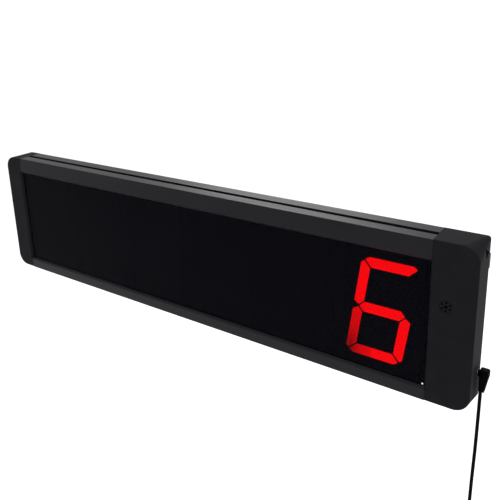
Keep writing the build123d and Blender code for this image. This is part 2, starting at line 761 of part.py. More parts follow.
def plug_body():
    """Right-angle moulding on a short collar beside the cap, narrowing downwards to the cord."""
    half = PLUG_WIDTH / 2
    z0 = RELIEF_BOTTOM_Z + RELIEF_LENGTH
    x0 = RIGHT_X + PLUG_GAP + PLUG_COLLAR
    x1 = x0 + PLUG_DEPTH
    middle = (x0 + x1) / 2
    shoulder_z = PLUG_TOP_Z - PLUG_SHOULDER
    upper = block(x0, x1, INLET_Y - half, INLET_Y + half, shoulder_z, PLUG_TOP_Z)
    wide = Plane.XY.offset(shoulder_z) * Pos(middle, INLET_Y) * Rectangle(PLUG_DEPTH, PLUG_WIDTH)
    neck_x = x0 + 0.1 + PLUG_NECK / 2
    narrow = Plane.XY.offset(z0) * Pos(neck_x, INLET_Y) * Rectangle(PLUG_NECK, PLUG_NECK)
    body = upper + loft([narrow, wide], ruled=True)
    corners = [
        edge
        for edge in body.edges().filter_by(Axis.X)
        if near(edge.center().Z, PLUG_TOP_Z)
    ]
    body = fillet(corners, 2.4)
    outer = [
        edge
        for edge in body.edges()
        if edge.center().X > x1 - 0.01 and edge.center().Z > shoulder_z + 0.1
    ]
    body = fillet(outer, 1.0)
    return body + rod_x(PLUG_COLLAR_RADIUS, RIGHT_X + PLUG_GAP, x0, INLET_Y, INLET_Z)


def plug_barrel():
    """Metal sleeve of the plug, open for the inlet's pin."""
    x1 = RIGHT_X + PLUG_GAP
    sleeve = rod_x(BARREL_RADIUS, x1 - 9.5, x1, INLET_Y, INLET_Z)
    return sleeve - rod_x(PIN_RADIUS + RUNNING_GAP, x1 - 10.5, x1 - 0.6, INLET_Y, INLET_Z)


def strain_relief():
    """Short ribbed sleeve round the cord under the plug."""
    z1 = RELIEF_BOTTOM_Z + RELIEF_LENGTH
    relief = rod_z(2.2, RELIEF_BOTTOM_Z, z1, CORD_X, INLET_Y)
    for i in range(2):
        z = z1 - 0.3 - 1.6 * i
        relief += rod_z(2.9 - 0.2 * i, z - 1.1, z, CORD_X, INLET_Y)
    return relief


def cord_route():
    """Corner points of the hanging lead, from the strain relief down to the coil."""
    return [
        (CORD_X, INLET_Y, RELIEF_BOTTOM_Z),
        (CORD_X, INLET_Y, RELIEF_BOTTOM_Z - 52.0),
        (COIL_X1, INLET_Y, RELIEF_BOTTOM_Z - 104.0),
        (COIL_X1, INLET_Y, COIL_Z),
    ]


def tail_route():
    """Corner points of the lead from the coil down into the adapter."""
    return [
        (COIL_X0, INLET_Y, COIL_Z),
        (COIL_X0, INLET_Y, COIL_Z - 10.0),
        (COIL_X0, ADAPTER_Y, COIL_Z - 26.0),
        (COIL_X0, ADAPTER_Y, ADAPTER_TOP_Z + BOOT_LENGTH),
    ]


def tube(route, label):
    """Round cord along straight runs joined by tangent arcs as large as the runs allow."""
    points = [Vector(*p) for p in route]
    radii = []
    for before, corner, after in zip(points, points[1:], points[2:]):
        first = corner - before
        second = after - corner
        turn = math.radians(first.get_angle(second))
        radii.append(0.45 * min(first.length, second.length) / math.tan(turn / 2))
    path = FilletPolyline(*points, radius=radii)
    start = Plane(origin=points[0], z_dir=points[1] - points[0])
    body = sweep(start * Circle(CORD_DIAMETER / 2), path=path)
    section = math.pi * CORD_DIAMETER**2 / 4
    ratio = body.volume / section / path.length
    print(label, "radii", [round(r) for r in radii])
    print(label, "length", round(path.length, 1), "volume ratio", round(ratio, 4))
    return body, path.length


def cord_coil():
    """Outer shape of the coiled length: a hollow drum with its axis along X."""
    y = INLET_Y - COIL_RADIUS
    half = CORD_DIAMETER / 2
    x0, x1 = COIL_X0 - half, COIL_X1 + half
    drum = rod_x(COIL_RADIUS + half, x0, x1, y, COIL_Z)
    return drum - rod_x(COIL_RADIUS - half, x0 - 1, x1 + 1, y, COIL_Z)


def cord_tie():
    """Wire tie looped round the coil's turns at the front."""
    half = CORD_DIAMETER / 2
    y = INLET_Y - 2 * COIL_RADIUS
    x0, x1 = COIL_X0 - half, COIL_X1 + half
    y0, y1 = y - half - 0.35, y + half + 0.35
    tie = block(x0 - 0.8, x1 + 0.8, y0 - 0.8, y1 + 0.8, COIL_Z - 1.5, COIL_Z + 1.5)
    tie -= block(x0, x1, y0, y1, COIL_Z - 2, COIL_Z + 2)
    tie += block(x0 + 12, x0 + 16, y0 - 3.4, y0 - 0.8, COIL_Z - 1.5, COIL_Z + 1.5)
    return tie


def adapter_case():
    """Plug-in power supply, hollow, hanging by its lead with the blades to one side."""
    sx, sy, sz = ADAPTER_SIZE
    x = COIL_X0
    z1 = ADAPTER_TOP_Z
    outer = block(x - sx / 2, x + sx / 2, ADAPTER_Y - sy / 2, ADAPTER_Y + sy / 2, z1 - sz, z1)
    outer = fillet(outer.edges(), 3.0)
    inner = block(
        x - sx / 2 + 2, x + sx / 2 - 2, ADAPTER_Y - sy / 2 + 2, ADAPTER_Y + sy / 2 - 2, z1 - sz + 2, z1 - 2
    )
    seam = block(x + 3.2, x + 3.8, ADAPTER_Y - sy, ADAPTER_Y + sy, z1 - 2 * sz, z1 + sz)
    seam -= block(
        x + 3, x + 4, ADAPTER_Y - sy / 2 + 0.5, ADAPTER_Y + sy / 2 - 0.5, z1 - sz + 0.5, z1 - 0.5
    )
    return outer - inner - seam


def adapter_blades():
    """Two flat mains blades standing out of the side of the adapter."""
    sx, _, sz = ADAPTER_SIZE
    x1 = COIL_X0 - sx / 2
    z = ADAPTER_TOP_Z - sz + 22.0
    blades = []
    for way in (-1, 1):
        y = ADAPTER_Y + way * 6.35
        blade = block(x1 - 17.0, x1, y - 0.75, y + 0.75, z - 3.2, z + 3.2)
        blades.append(blade - rod_y(1.6, y - 2, y + 2, x1 - 13.0, z))
    return blades


def adapter_relief():
    """Tapered boot where the lead enters the top of the adapter."""
    x = COIL_X0
    return Pos(x, ADAPTER_Y, ADAPTER_TOP_Z + BOOT_LENGTH / 2) * Cone(3.6, 2.3, BOOT_LENGTH)


def adapter_inside(name):
    """Board, transformer and reservoir capacitor inside the adapter."""
    sx, sy, sz = ADAPTER_SIZE
    x = COIL_X0
    z = ADAPTER_TOP_Z - sz / 2
    board_x = x - sx / 2 + 5.0
    if name == "board":
        return block(board_x, board_x + 1.6, ADAPTER_Y - 17, ADAPTER_Y + 17, z - 27, z + 27)
    if name == "transformer":
        core = block(board_x + 1.6, board_x + 17.6, ADAPTER_Y - 9, ADAPTER_Y + 9, z - 10, z + 10)
        winding = block(board_x + 3.6, board_x + 15.6, ADAPTER_Y - 11, ADAPTER_Y + 11, z - 7, z + 7)
        return core + winding
    return rod_x(5.0, board_x + 1.6, board_x + 17.6, ADAPTER_Y, z + 18)


def wall_hanger(side):
    """Raised sheet plate with a keyhole, two folded feet and a tongue to the housing's end."""
    x0, x1 = HANGER_X - 12.0, HANGER_X + 12.0
    end_x = RIGHT_X - 0.4
    plate = block(x0, x1, -SHEET, 0, -13.5, 13.5)
    plate += block(x1 - 1, end_x, -SHEET, 0, -6.8, 6.2)
    plate += block(end_x - SHEET, end_x, BACK_Y, 0, -6.8, 6.2)
    for way in (-1, 1):
        z0, z1 = sorted((way * 13.5, way * (13.5 - SHEET)))
        plate += block(x0, x1, BACK_Y, 0, z0, z1)
        z0, z1 = sorted((way * 12.0, way * 22.0))
        plate += block(x0, x1, BACK_Y, BACK_Y + SHEET, z0, z1)
        plate -= rod_y(1.7, BACK_Y - 1, BACK_Y + 2, HANGER_X, way * HANGER_SCREW_Z)
    plate -= rod_y(KEYHOLE_RADIUS, -SHEET - 1, 1, HANGER_X, 0)
    plate -= rod_y(KEYHOLE_SLOT_RADIUS, -SHEET - 1, 1, HANGER_X, KEYHOLE_RISE)
    r = KEYHOLE_SLOT_RADIUS
    plate -= block(HANGER_X - r, HANGER_X + r, -SHEET - 1, 1, 0, KEYHOLE_RISE)
    if side < 0:
        plate = mirror(plate, about=Plane.YZ)
    return plate


os.makedirs("parts", exist_ok=True)

save("top_profile", top_profile())
save("bottom_profile", bottom_profile())
save("back_panel", back_panel())
save("left_end_cap", left_end_cap())
save("right_end_cap", right_end_cap())
save("front_lens", front_lens())
save("lens_seal_strips", *lens_seals())
save("left_wall_hanger", wall_hanger(-1))
save("right_wall_hanger", wall_hanger(1))
save("case_screws", *case_screws())

for digit in range(DIGIT_COUNT):
    save(f"digit_{digit + 1}_reflector", reflector(digit))
for digit in range(DIGIT_COUNT - 1):
    save(f"digit_{digit + 1}_segments", *diffusers(digit, "abcdefg"))
save("digit_6_lit_segments", *diffusers(DIGIT_COUNT - 1, "acdefg"))
save("digit_6_dark_segment", *diffusers(DIGIT_COUNT - 1, "b"))
save("colon_1_block", colon_block(1))
save("colon_2_block", colon_block(2))
save("colon_dots", *colon_dots())
save("display_board", display_board())
save("segment_leds", *segment_leds(), *colon_leds())
save("driver_chips", *driver_chips())
save("display_connector", ribbon_connector(DISPLAY_CONNECTOR_X))
save("ribbon_cable", ribbon_cable())

save("control_board", control_board())
save("control_connector", ribbon_connector(CONTROL_CONNECTOR_X))
save("control_standoffs", *board_standoffs())
save("control_screws", *board_screws())
save("microcontroller", microcontroller())
save("clock_crystal", clock_crystal())
save("coin_cell_holder", coin_cell_holder())
save("coin_cell", coin_cell())
save("filter_capacitors", *filter_capacitors())
save("voltage_regulator", voltage_regulator())
save("buzzer", buzzer())
save("remote_receiver", remote_receiver())
save("dc_jack", jack_body())
save("dc_jack_pin", jack_pin())
save("dc_jack_tails", *jack_tail())

save("dc_plug_body", plug_body())
save("dc_plug_barrel", plug_barrel())
save("plug_strain_relief", strain_relief())
lead, lead_length = tube(cord_route(), "lead")
tail, tail_length = tube(tail_route(), "tail")
save("power_cord", lead)
save("adapter_cord", tail)
save("cord_coil", cord_coil())
save("cord_tie", cord_tie())
save("adapter_strain_relief", adapter_relief())
save("adapter_case", adapter_case())
save("adapter_blades", *adapter_blades())
save("adapter_board", adapter_inside("board"))
save("adapter_transformer", adapter_inside("transformer"))
save("adapter_capacitor", adapter_inside("capacitor"))

turn_length = math.hypot(2 * math.pi * COIL_RADIUS, CORD_DIAMETER)
coil_length = COIL_TURNS * turn_length
print("whole cord", round(lead_length + coil_length + tail_length))
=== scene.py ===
import math

import bpy
import numpy as np
from mathutils import Matrix, Vector


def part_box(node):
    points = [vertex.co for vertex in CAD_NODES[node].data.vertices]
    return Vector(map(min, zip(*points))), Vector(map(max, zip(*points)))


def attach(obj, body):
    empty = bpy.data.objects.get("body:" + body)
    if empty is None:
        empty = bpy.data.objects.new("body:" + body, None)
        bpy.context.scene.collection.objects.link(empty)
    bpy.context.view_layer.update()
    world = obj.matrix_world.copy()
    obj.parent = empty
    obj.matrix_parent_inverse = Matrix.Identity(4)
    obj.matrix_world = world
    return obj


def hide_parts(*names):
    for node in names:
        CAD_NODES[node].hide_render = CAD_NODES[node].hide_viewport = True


# Looks of a wall-hung gym round timer: black case, smoked lens, red digits, plug-in lead.
# Metres. X to the viewer's right, Y into the wall, Z up.

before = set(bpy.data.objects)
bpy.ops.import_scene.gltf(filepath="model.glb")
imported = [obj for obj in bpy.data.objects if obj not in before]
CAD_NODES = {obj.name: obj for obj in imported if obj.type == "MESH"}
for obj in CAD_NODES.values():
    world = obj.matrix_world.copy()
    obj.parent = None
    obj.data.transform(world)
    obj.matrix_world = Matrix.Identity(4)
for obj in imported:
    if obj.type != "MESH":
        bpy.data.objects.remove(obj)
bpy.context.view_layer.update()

# Eye: where it stands, the way it looks, and its lens
EYE_PLACE = (0.4089, -0.5052, 0.2211)
EYE_FORWARD = (-0.54328, 0.79472, -0.27067)
EYE_UP = (-0.12924, 0.23939, 0.96228)
EYE_SENSOR_MM = 36.0
EYE_LENS_MM = 43.55
EYE_SHIFT = (-0.0012, -0.1656)

# Lead: where it leaves the plug, where it winds, and where it enters the adapter
LEAD_DIAMETER = 0.0032
LEAD_X = 0.3124
LEAD_Y = -0.014
LEAD_TOP_Z = -0.1195
COIL_RADIUS = 0.0174
COIL_TURNS = 12
POINTS_PER_TURN = 16
COIL_Z = -0.276
COIL_RIGHT_X = 0.3112
COIL_LEFT_X = COIL_RIGHT_X - COIL_TURNS * LEAD_DIAMETER
DROP_TO_MIDDLE = 0.052
DROP_TO_COIL = 0.104
TAIL_TURNS_BACK = 0.010
TAIL_TURNS_DOWN = 0.026
ADAPTER_Y = -0.022
ADAPTER_TOP_Z = -0.322

# Boot on the adapter: ribs, the radius at its two ends, and how deep the grooves are
BOOT_LENGTH = 0.010
BOOT_RIBS = 4
BOOT_TOP_RADIUS = 0.0022
BOOT_FOOT_RADIUS = 0.0036
BOOT_GROOVE = 0.0004

# Plug: a collar off the case, a rounded top, and the shoulder below which it narrows to its neck
PLUG_AXIS_Z = -0.1025
PLUG_COLLAR = 0.0013
PLUG_NECK = 0.0052
PLUG_SHOULDER = 0.0056
PLUG_ROUND_OVER = 0.0015
PLUG_SKIN = 0.0001
PLUG_LEAN = 0.0001
PLUG_FOOT_GAP = 0.0003
RIDGE_HEIGHT = 0.00008
RIDGE_PITCH = 0.0014
RIDGES_BEGIN = (0.0018, 0.0024)
RIDGES_END = (PLUG_SHOULDER, 0.0064)
COLLAR_RADIUS = 0.0029
COLLAR_FLARE = 0.0008
COLLAR_INTO_PLUG = 0.0006

# Tie round the coil: its looseness, its half thickness and width, and its twisted ends
TIE_LOOSE = (0.0006, 0.0007)
TIE_BEND = 0.0019
TIE_HALF_THICK = 0.0004
TIE_HALF_WIDE = 0.0014
TIE_EDGE = 0.00035
TWIST_INSET = 0.0148
TWIST_START = 0.0036
TWIST_LENGTH = 0.0034
TWIST_TURNS = 3
TWIST_HALF_WIDE = 0.00125
TWIST_HALF_THICK = 0.0006

# Glowing dot at the lens's corner: its glow is a painted highlight for a bright speck, not a lamp
GLINT_PLACE = (0.2675, -0.0362, -0.1155)
GLINT_RADIUS = 0.0009
GLINT_RISE = 0.0006

# A surface is creased where its faces meet at more than this
CREASE_DEGREES = 35.0

# Room: strength of the pale surroundings, each lamp's place, size and power, and the floor
ROOM_STRENGTH = 1.03
LAMPS = {
    "overhead": ((0.2, 0.3, 2.2), 2.0, 30.0),
    "behind": ((-1.1, 2.05, 0.9), 1.0, 11.0),
}
FLOOR_Z = -1.1
FLOOR_HALF = 40.0


# ---------------------------------------------------------------- camera

def place_camera():
    """Eye a little right of and above the case, looking down along its front."""
    forward = Vector(EYE_FORWARD).normalized()
    right = forward.cross(Vector(EYE_UP)).normalized()
    up = right.cross(forward)
    eye = bpy.data.cameras.new("eye")
    eye.sensor_width = EYE_SENSOR_MM
    eye.lens = EYE_LENS_MM
    eye.shift_x, eye.shift_y = EYE_SHIFT
    eye.clip_start = 0.01
    eye.clip_end = 100.0
    holder = bpy.data.objects.new("eye", eye)
    turn = Matrix((right, up, -forward)).transposed().to_4x4()
    holder.matrix_world = Matrix.Translation(EYE_PLACE) @ turn
    bpy.context.scene.collection.objects.link(holder)
    bpy.context.scene.camera = holder


# ---------------------------------------------------------------- cord

def lead_points():
    """Control points of the whole lead: down from the plug, round the coil, down into the adapter.

    A turn's points stand on a circle wider than the coil by one over the cosine of half their
    spacing, so the smooth line touches the coil's own radius, and X falls by a diameter a turn.
    """
    drop = [
        (LEAD_X, LEAD_Y, LEAD_TOP_Z),
        (LEAD_X, LEAD_Y, LEAD_TOP_Z - DROP_TO_MIDDLE),
        (COIL_RIGHT_X, LEAD_Y, LEAD_TOP_Z - DROP_TO_COIL),
    ]
    step = 2 * math.pi / POINTS_PER_TURN
    angle = (np.arange(COIL_TURNS * POINTS_PER_TURN) + 0.5) * step
    reach = COIL_RADIUS / math.cos(step / 2)
    turns = np.stack(
        [
            COIL_RIGHT_X - LEAD_DIAMETER * angle / (2 * math.pi),
            LEAD_Y - COIL_RADIUS + reach * np.cos(angle),
            COIL_Z - reach * np.sin(angle),
        ],
        axis=1,
    )
    tail = [
        (COIL_LEFT_X, LEAD_Y, COIL_Z - TAIL_TURNS_BACK),
        (COIL_LEFT_X, ADAPTER_Y, COIL_Z - TAIL_TURNS_DOWN),
        (COIL_LEFT_X, ADAPTER_Y, ADAPTER_TOP_Z + BOOT_LENGTH),
    ]
    return np.concatenate([drop, turns, tail])


def make_lead():
    """The power lead as one smooth round cord."""
    points = lead_points()
    curve = bpy.data.curves.new("power_lead_cord", "CURVE")
    curve.dimensions = "3D"
    curve.bevel_depth = LEAD_DIAMETER / 2
    curve.bevel_resolution = 5
    curve.resolution_u = 4
    curve.use_fill_caps = True
    spline = curve.splines.new("NURBS")
    spline.points.add(len(points) - 1)
    spline.points.foreach_set("co", np.c_[points, np.ones(len(points))].ravel())
    spline.order_u = 3
    spline.use_endpoint_u = True
    cord = bpy.data.objects.new("power_lead_cord", curve)
    bpy.context.scene.collection.objects.link(cord)
    return cord


# ---------------------------------------------------------------- surfaces

def solid_of(rings):
    """Points and faces of closed rings stacked in order: each ring joins the next, ends close on a point."""
    rows, columns = rings.shape[:2]
    points = np.concatenate([rings.reshape(-1, 3), [rings[0].mean(0), rings[-1].mean(0)]])
    first = np.arange(rows - 1)[:, None] * columns + np.arange(columns)
    after = np.arange(rows - 1)[:, None] * columns + (np.arange(columns) + 1) % columns
    sides = np.stack([first, after, after + columns, first + columns], axis=-1).reshape(-1, 4)
    near, far = first[0], after[0]
    low_end = np.stack([far, near, np.full(columns, len(points) - 2)], axis=-1)
    base = (rows - 1) * columns
    high_end = np.stack([near + base, far + base, np.full(columns, len(points) - 1)], axis=-1)
    return points, sides.tolist() + low_end.tolist() + high_end.tolist()


def loop_of(rings):
    """Points and faces of closed rings set round a closed path: the last ring joins the first."""
    rows, columns = rings.shape[:2]
    row = np.arange(rows)[:, None] * columns
    next_row = (np.arange(rows)[:, None] + 1) % rows * columns
    column = np.arange(columns)
    next_column = (column + 1) % columns
    corners = [row + column, row + next_column, next_row + next_column, next_row + column]
    sides = np.stack(corners, axis=-1)
    return rings.reshape(-1, 3), sides.reshape(-1, 4).tolist()


def enclosed_volume(points, faces):
    """Signed volume of a closed surface: the sum of its fans' corner-to-origin tetrahedra."""
    total = 0.0
    for size in (3, 4):
        rows = np.array([face for face in faces if len(face) == size], int).reshape(-1, size)
        for k in range(1, size - 1):
            a, b, c = points[rows[:, 0]], points[rows[:, k]], points[rows[:, k + 1]]
            total += np.einsum("ij,ij->i", a, np.cross(b, c)).sum() / 6
    return total


def make_piece(name, surface):
    """Mesh object of a closed surface, its faces turned outwards, smooth but for its creases."""
    points, faces = surface
    if enclosed_volume(points, faces) < 0:
        faces = [face[::-1] for face in faces]
    mesh = bpy.data.meshes.new(name)
    mesh.from_pydata(points.tolist(), [], faces)
    mesh.shade_smooth()
    mesh.set_sharp_from_angle(angle=math.radians(CREASE_DEGREES))
    piece = bpy.data.objects.new(name, mesh)
    bpy.context.scene.collection.objects.link(piece)
    return piece


def soft_box(half_u, half_v, radius, corner_steps=8):
    """Rounded rectangle: four corner centres, each with a quarter circle of the radius about it."""
    turn = np.linspace(0, math.pi / 2, corner_steps)
    angle = np.concatenate([turn + quarter * math.pi / 2 for quarter in range(4)])
    side_u = np.repeat([1, -1, -1, 1], corner_steps)
    side_v = np.repeat([1, 1, -1, -1], corner_steps)
    u = side_u * (half_u - radius) + radius * np.cos(angle)
    v = side_v * (half_v - radius) + radius * np.sin(angle)
    return u, v


def full_circle(steps):
    """Angles all the way round, the last one left off because it is the first again."""
    return np.linspace(0, 2 * math.pi, steps, endpoint=False)


def smooth_step(low, high, value):
    """0 below low, 1 above high, and three squares less two cubes in between."""
    share = np.clip((value - low) / (high - low), 0, 1)
    return share * share * (3 - 2 * share)


def plug_moulding():
    """Right-angle plug: rounded rectangles down Z, rounded over at the top, then narrowing evenly.

    Below the shoulder the width falls in a straight line to the neck; three shallow finger ridges,
    a sine of the height, run across the widest part.
    """
    low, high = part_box("dc_plug_body")
    foot_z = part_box("plug_strain_relief")[0].z + PLUG_FOOT_GAP
    inner_x = low.x + PLUG_COLLAR
    ends = high.z - PLUG_ROUND_OVER * (1 - np.cos(np.linspace(0, math.pi / 2, 7)))
    heights = np.concatenate([ends, np.linspace(ends[-1] - 0.0004, foot_z, 56)])[:, None]
    below = high.z - heights
    into = np.clip(1 - below / PLUG_ROUND_OVER, 0, 1)
    inset = PLUG_ROUND_OVER * (1 - np.sqrt(1 - into * into)) + PLUG_SKIN
    narrow = np.clip((below - PLUG_SHOULDER) / (high.z - foot_z - PLUG_SHOULDER), 0, 1)
    ridges = RIDGE_HEIGHT * np.sin(2 * math.pi * below / RIDGE_PITCH)
    ridges *= smooth_step(*RIDGES_BEGIN, below) * (1 - smooth_step(*RIDGES_END, below))
    left = inner_x + PLUG_LEAN * narrow + inset
    right = high.x + (inner_x + PLUG_LEAN + PLUG_NECK - high.x) * narrow - inset + ridges
    half_y = (high.y - low.y) / 2 * (1 - narrow) + PLUG_NECK / 2 * narrow - inset + ridges
    turn_u, turn_v = soft_box(1.0, 1.0, 0.34)
    x = (left + right) / 2 + (right - left) / 2 * turn_u
    y = LEAD_Y + half_y * turn_v
    return solid_of(np.stack([x, y, np.broadcast_to(heights, x.shape)], axis=-1))


def plug_collar():
    """Short round collar from the plug to the case: circles along X, their radius flared by a cube."""
    along = np.linspace(0, 1, 9)[:, None]
    radius = COLLAR_RADIUS + COLLAR_FLARE * along**3
    y = LEAD_Y + radius * np.cos(full_circle(32))
    z = PLUG_AXIS_Z + radius * np.sin(full_circle(32))
    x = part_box("dc_plug_body")[0].x + (PLUG_COLLAR + COLLAR_INTO_PLUG) * along
    return solid_of(np.stack([np.broadcast_to(x, y.shape), y, z], axis=-1))


def glint_dome():
    """Tiny dome at the lens's lower right corner: circles that follow a quarter of an oval."""
    rise = np.linspace(0, math.pi / 2 - 0.08, 8)[:, None]
    radius = GLINT_RADIUS * np.cos(rise)
    middle_x, lens_y, middle_z = GLINT_PLACE
    x = middle_x + radius * np.cos(full_circle(20))
    z = middle_z + radius * np.sin(full_circle(20))
    y = lens_y - GLINT_RISE * np.sin(rise)
    return solid_of(np.stack([x, np.broadcast_to(y, x.shape), z], axis=-1))


def adapter_boot():
    """Boot round the lead where it enters the adapter: circles down Z.

    The radius grows evenly downwards and dips in a groove between one rib and the next.
    """
    along = np.linspace(0, 1, 12 * BOOT_RIBS + 1)[:, None]
    in_rib = (along * BOOT_RIBS) % 1
    groove = smooth_step(0.62, 0.72, in_rib) * (1 - smooth_step(0.9, 1.0, in_rib))
    radius = BOOT_TOP_RADIUS + (BOOT_FOOT_RADIUS - BOOT_TOP_RADIUS) * along - BOOT_GROOVE * groove
    x = COIL_LEFT_X + radius * np.cos(full_circle(36))
    y = ADAPTER_Y + radius * np.sin(full_circle(36))
    z = ADAPTER_TOP_Z + BOOT_LENGTH - BOOT_LENGTH * along
    return solid_of(np.stack([x, y, np.broadcast_to(z, x.shape)], axis=-1))


def tie_band():
    """Flat tie round all the turns at the coil's front: a rounded rectangle carried round another."""
    low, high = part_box("cord_coil")
    middle_x = (low.x + high.x) / 2
    front_y = low.y + LEAD_DIAMETER / 2
    half_u = (high.x - low.x) / 2 + TIE_LOOSE[0]
    path_u, path_v = soft_box(half_u, LEAD_DIAMETER / 2 + TIE_LOOSE[1], TIE_BEND, 10)
    across, along = soft_box(TIE_HALF_THICK, TIE_HALF_WIDE, TIE_EDGE, 3)
    path = np.stack([path_u, path_v], axis=1)
    turn = np.roll(path, -1, axis=0) - np.roll(path, 1, axis=0)
    turn /= np.linalg.norm(turn, axis=1)[:, None]
    out_u, out_v = turn[:, 1], -turn[:, 0]
    rings = np.stack(
        [
            middle_x + path_u[:, None] + out_u[:, None] * across,
            front_y + path_v[:, None] + out_v[:, None] * across,
            COIL_Z + np.broadcast_to(along, (len(path_u), len(along))),
        ],
        axis=-1,
    )
    return loop_of(rings)


def tie_twist():
    """The tie's two ends twisted together: a flat oval that turns three times as it comes forward."""
    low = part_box("cord_tie")[0]
    along = np.linspace(0, 1, 49)[:, None]
    size = 1 - 0.45 * smooth_step(0.85, 1.0, along)
    spin = along * 2 * math.pi * TWIST_TURNS
    u = size * TWIST_HALF_WIDE * np.cos(full_circle(16))
    v = size * TWIST_HALF_THICK * np.sin(full_circle(16))
    x = low.x + TWIST_INSET + u * np.cos(spin) - v * np.sin(spin)
    y = low.y + TWIST_START - TWIST_LENGTH * along
    z = COIL_Z + u * np.sin(spin) + v * np.cos(spin)
    return solid_of(np.stack([x, np.broadcast_to(y, x.shape), z], axis=-1))


# ---------------------------------------------------------------- finishes

class Finish:
    """A material being built: its shader, and patterns laid on the piece's own coordinates."""

    def __init__(self, name, rough=0.5, metal=0.0, specular=0.5):
        self.material = bpy.data.materials.new(name)
        self.material.use_nodes = True
        self.tree = self.material.node_tree
        self.shader = self.tree.nodes["Principled BSDF"]
        self.shader.inputs["Roughness"].default_value = rough
        self.shader.inputs["Metallic"].default_value = metal
        self.shader.inputs["Specular IOR Level"].default_value = specular
        self.where = self.add("ShaderNodeTexCoord").outputs["Object"]

    def add(self, kind, **settings):
        node = self.tree.nodes.new(kind)
        for key, value in settings.items():
            setattr(node, key, value)
        return node

    def join(self, source, target):
        self.tree.links.new(source, target)

    def placed(self, stretch=(1, 1, 1), turn=(0, 0, 0)):
        """The piece's coordinates, stretched and turned."""
        mapping = self.add("ShaderNodeMapping")
        mapping.inputs["Scale"].default_value = stretch
        mapping.inputs["Rotation"].default_value = turn
        self.join(self.where, mapping.inputs["Vector"])
        return mapping.outputs["Vector"]

    def speckle(self, scale, detail=3.0, stretch=(1, 1, 1)):
        """Soft random field from 0 to 1."""
        noise = self.add("ShaderNodeTexNoise")
        noise.inputs["Scale"].default_value = scale
        noise.inputs["Detail"].default_value = detail
        self.join(self.placed(stretch), noise.inputs["Vector"])
        return noise.outputs["Fac"]

    def cells(self, scale):
        """Distance from the middle of the nearest of many small cells."""
        pattern = self.add("ShaderNodeTexVoronoi", feature="F1")
        pattern.inputs["Scale"].default_value = scale
        self.join(self.placed(), pattern.inputs["Vector"])
        return pattern.outputs["Distance"]

    def bands(self, axis, width, spread=0.0):
        """Stripes across an axis, a full cycle every width."""
        wave = self.add("ShaderNodeTexWave", wave_type="BANDS", bands_direction=axis)
        wave.inputs["Scale"].default_value = 0.314 / width
        wave.inputs["Distortion"].default_value = spread
        self.join(self.where, wave.inputs["Vector"])
        return wave.outputs["Fac"]

    def between(self, field, low, high, start=0.3, end=0.7):
        """A field spread over a range of values."""
        spread = self.add("ShaderNodeMapRange")
        for key, value in (("From Min", start), ("From Max", end), ("To Min", low), ("To Max", high)):
            spread.inputs[key].default_value = value
        self.join(field, spread.inputs["Value"])
        return spread.outputs["Result"]

    def shades(self, field, *stops):
        """A field turned into colours; each stop is a place from 0 to 1 and a colour."""
        ramp = self.add("ShaderNodeValToRGB")
        elements = ramp.color_ramp.elements
        while len(elements) < len(stops):
            elements.new(0.5)
        for element, (place, colour) in zip(elements, stops):
            element.position = place
            element.color = (*colour, 1)
        self.join(field, ramp.inputs["Fac"])
        return ramp.outputs["Color"]

    def paint(self, colours):
        self.join(colours, self.shader.inputs["Base Color"])
        return self

    def mottle(self, scale, detail, dark, light):
        """Colour in soft patches between two shades."""
        return self.paint(self.shades(self.speckle(scale, detail), (0.3, dark), (0.7, light)))

    def polish(self, field):
        self.join(field, self.shader.inputs["Roughness"])
        return self

    def relief(self, field, height, strength=1.0):
        """Surface relief of a height in metres, on top of any laid before."""
        bump = self.add("ShaderNodeBump")
        bump.inputs["Distance"].default_value = height
        bump.inputs["Strength"].default_value = strength
        self.join(field, bump.inputs["Height"])
        socket = self.shader.inputs["Normal"]
        if socket.is_linked:
            self.join(socket.links[0].from_socket, bump.inputs["Normal"])
        self.join(bump.outputs["Normal"], socket)
        return self

    def give(self, *pieces):
        for piece in pieces:
            target = CAD_NODES[piece] if isinstance(piece, str) else piece
            target.data.materials.clear()
            target.data.materials.append(self.material)


def scaled(colour, share):
    return tuple(channel * share for channel in colour)


def satin_profile():
    """Black anodised profile: faint draw lines along its length under a fine matt grain."""
    black = (0.0078, 0.0076, 0.0096)
    finish = Finish("satin_black_profile", specular=0.10)
    lines = finish.speckle(1400, 2, (0.012, 1, 1))
    patches = finish.speckle(38, 3, (0.3, 1, 1))
    finish.paint(finish.shades(patches, (0.3, scaled(black, 0.86)), (0.7, scaled(black, 1.2))))
    finish.polish(finish.between(lines, 0.36, 0.46))
    finish.relief(lines, 0.00002, 0.5)
    finish.relief(finish.speckle(5200, 2), 0.00001, 0.4)
    return finish


def moulded_cap():
    """Black moulded end cap with a fine spark-eroded texture."""
    black = (0.0076, 0.0074, 0.0094)
    finish = Finish("moulded_black_cap", specular=0.048)
    finish.mottle(55, 4, scaled(black, 0.88), scaled(black, 1.15))
    finish.polish(finish.between(finish.speckle(900, 3), 0.64, 0.76))
    finish.relief(finish.speckle(2600, 3), 0.00003, 0.45)
    return finish


def smoked_lens():
    """Smoked acrylic with a soft anti-glare face; a share of the light passes each face."""
    smoke = (0.0024, 0.0021, 0.0038)
    finish = Finish("smoked_lens", specular=0.015)
    finish.mottle(9, 2, scaled(smoke, 0.9), scaled(smoke, 1.1))
    finish.polish(finish.between(finish.speckle(420, 3), 0.28, 0.36))
    finish.shader.inputs["Alpha"].default_value = 0.78
    return finish


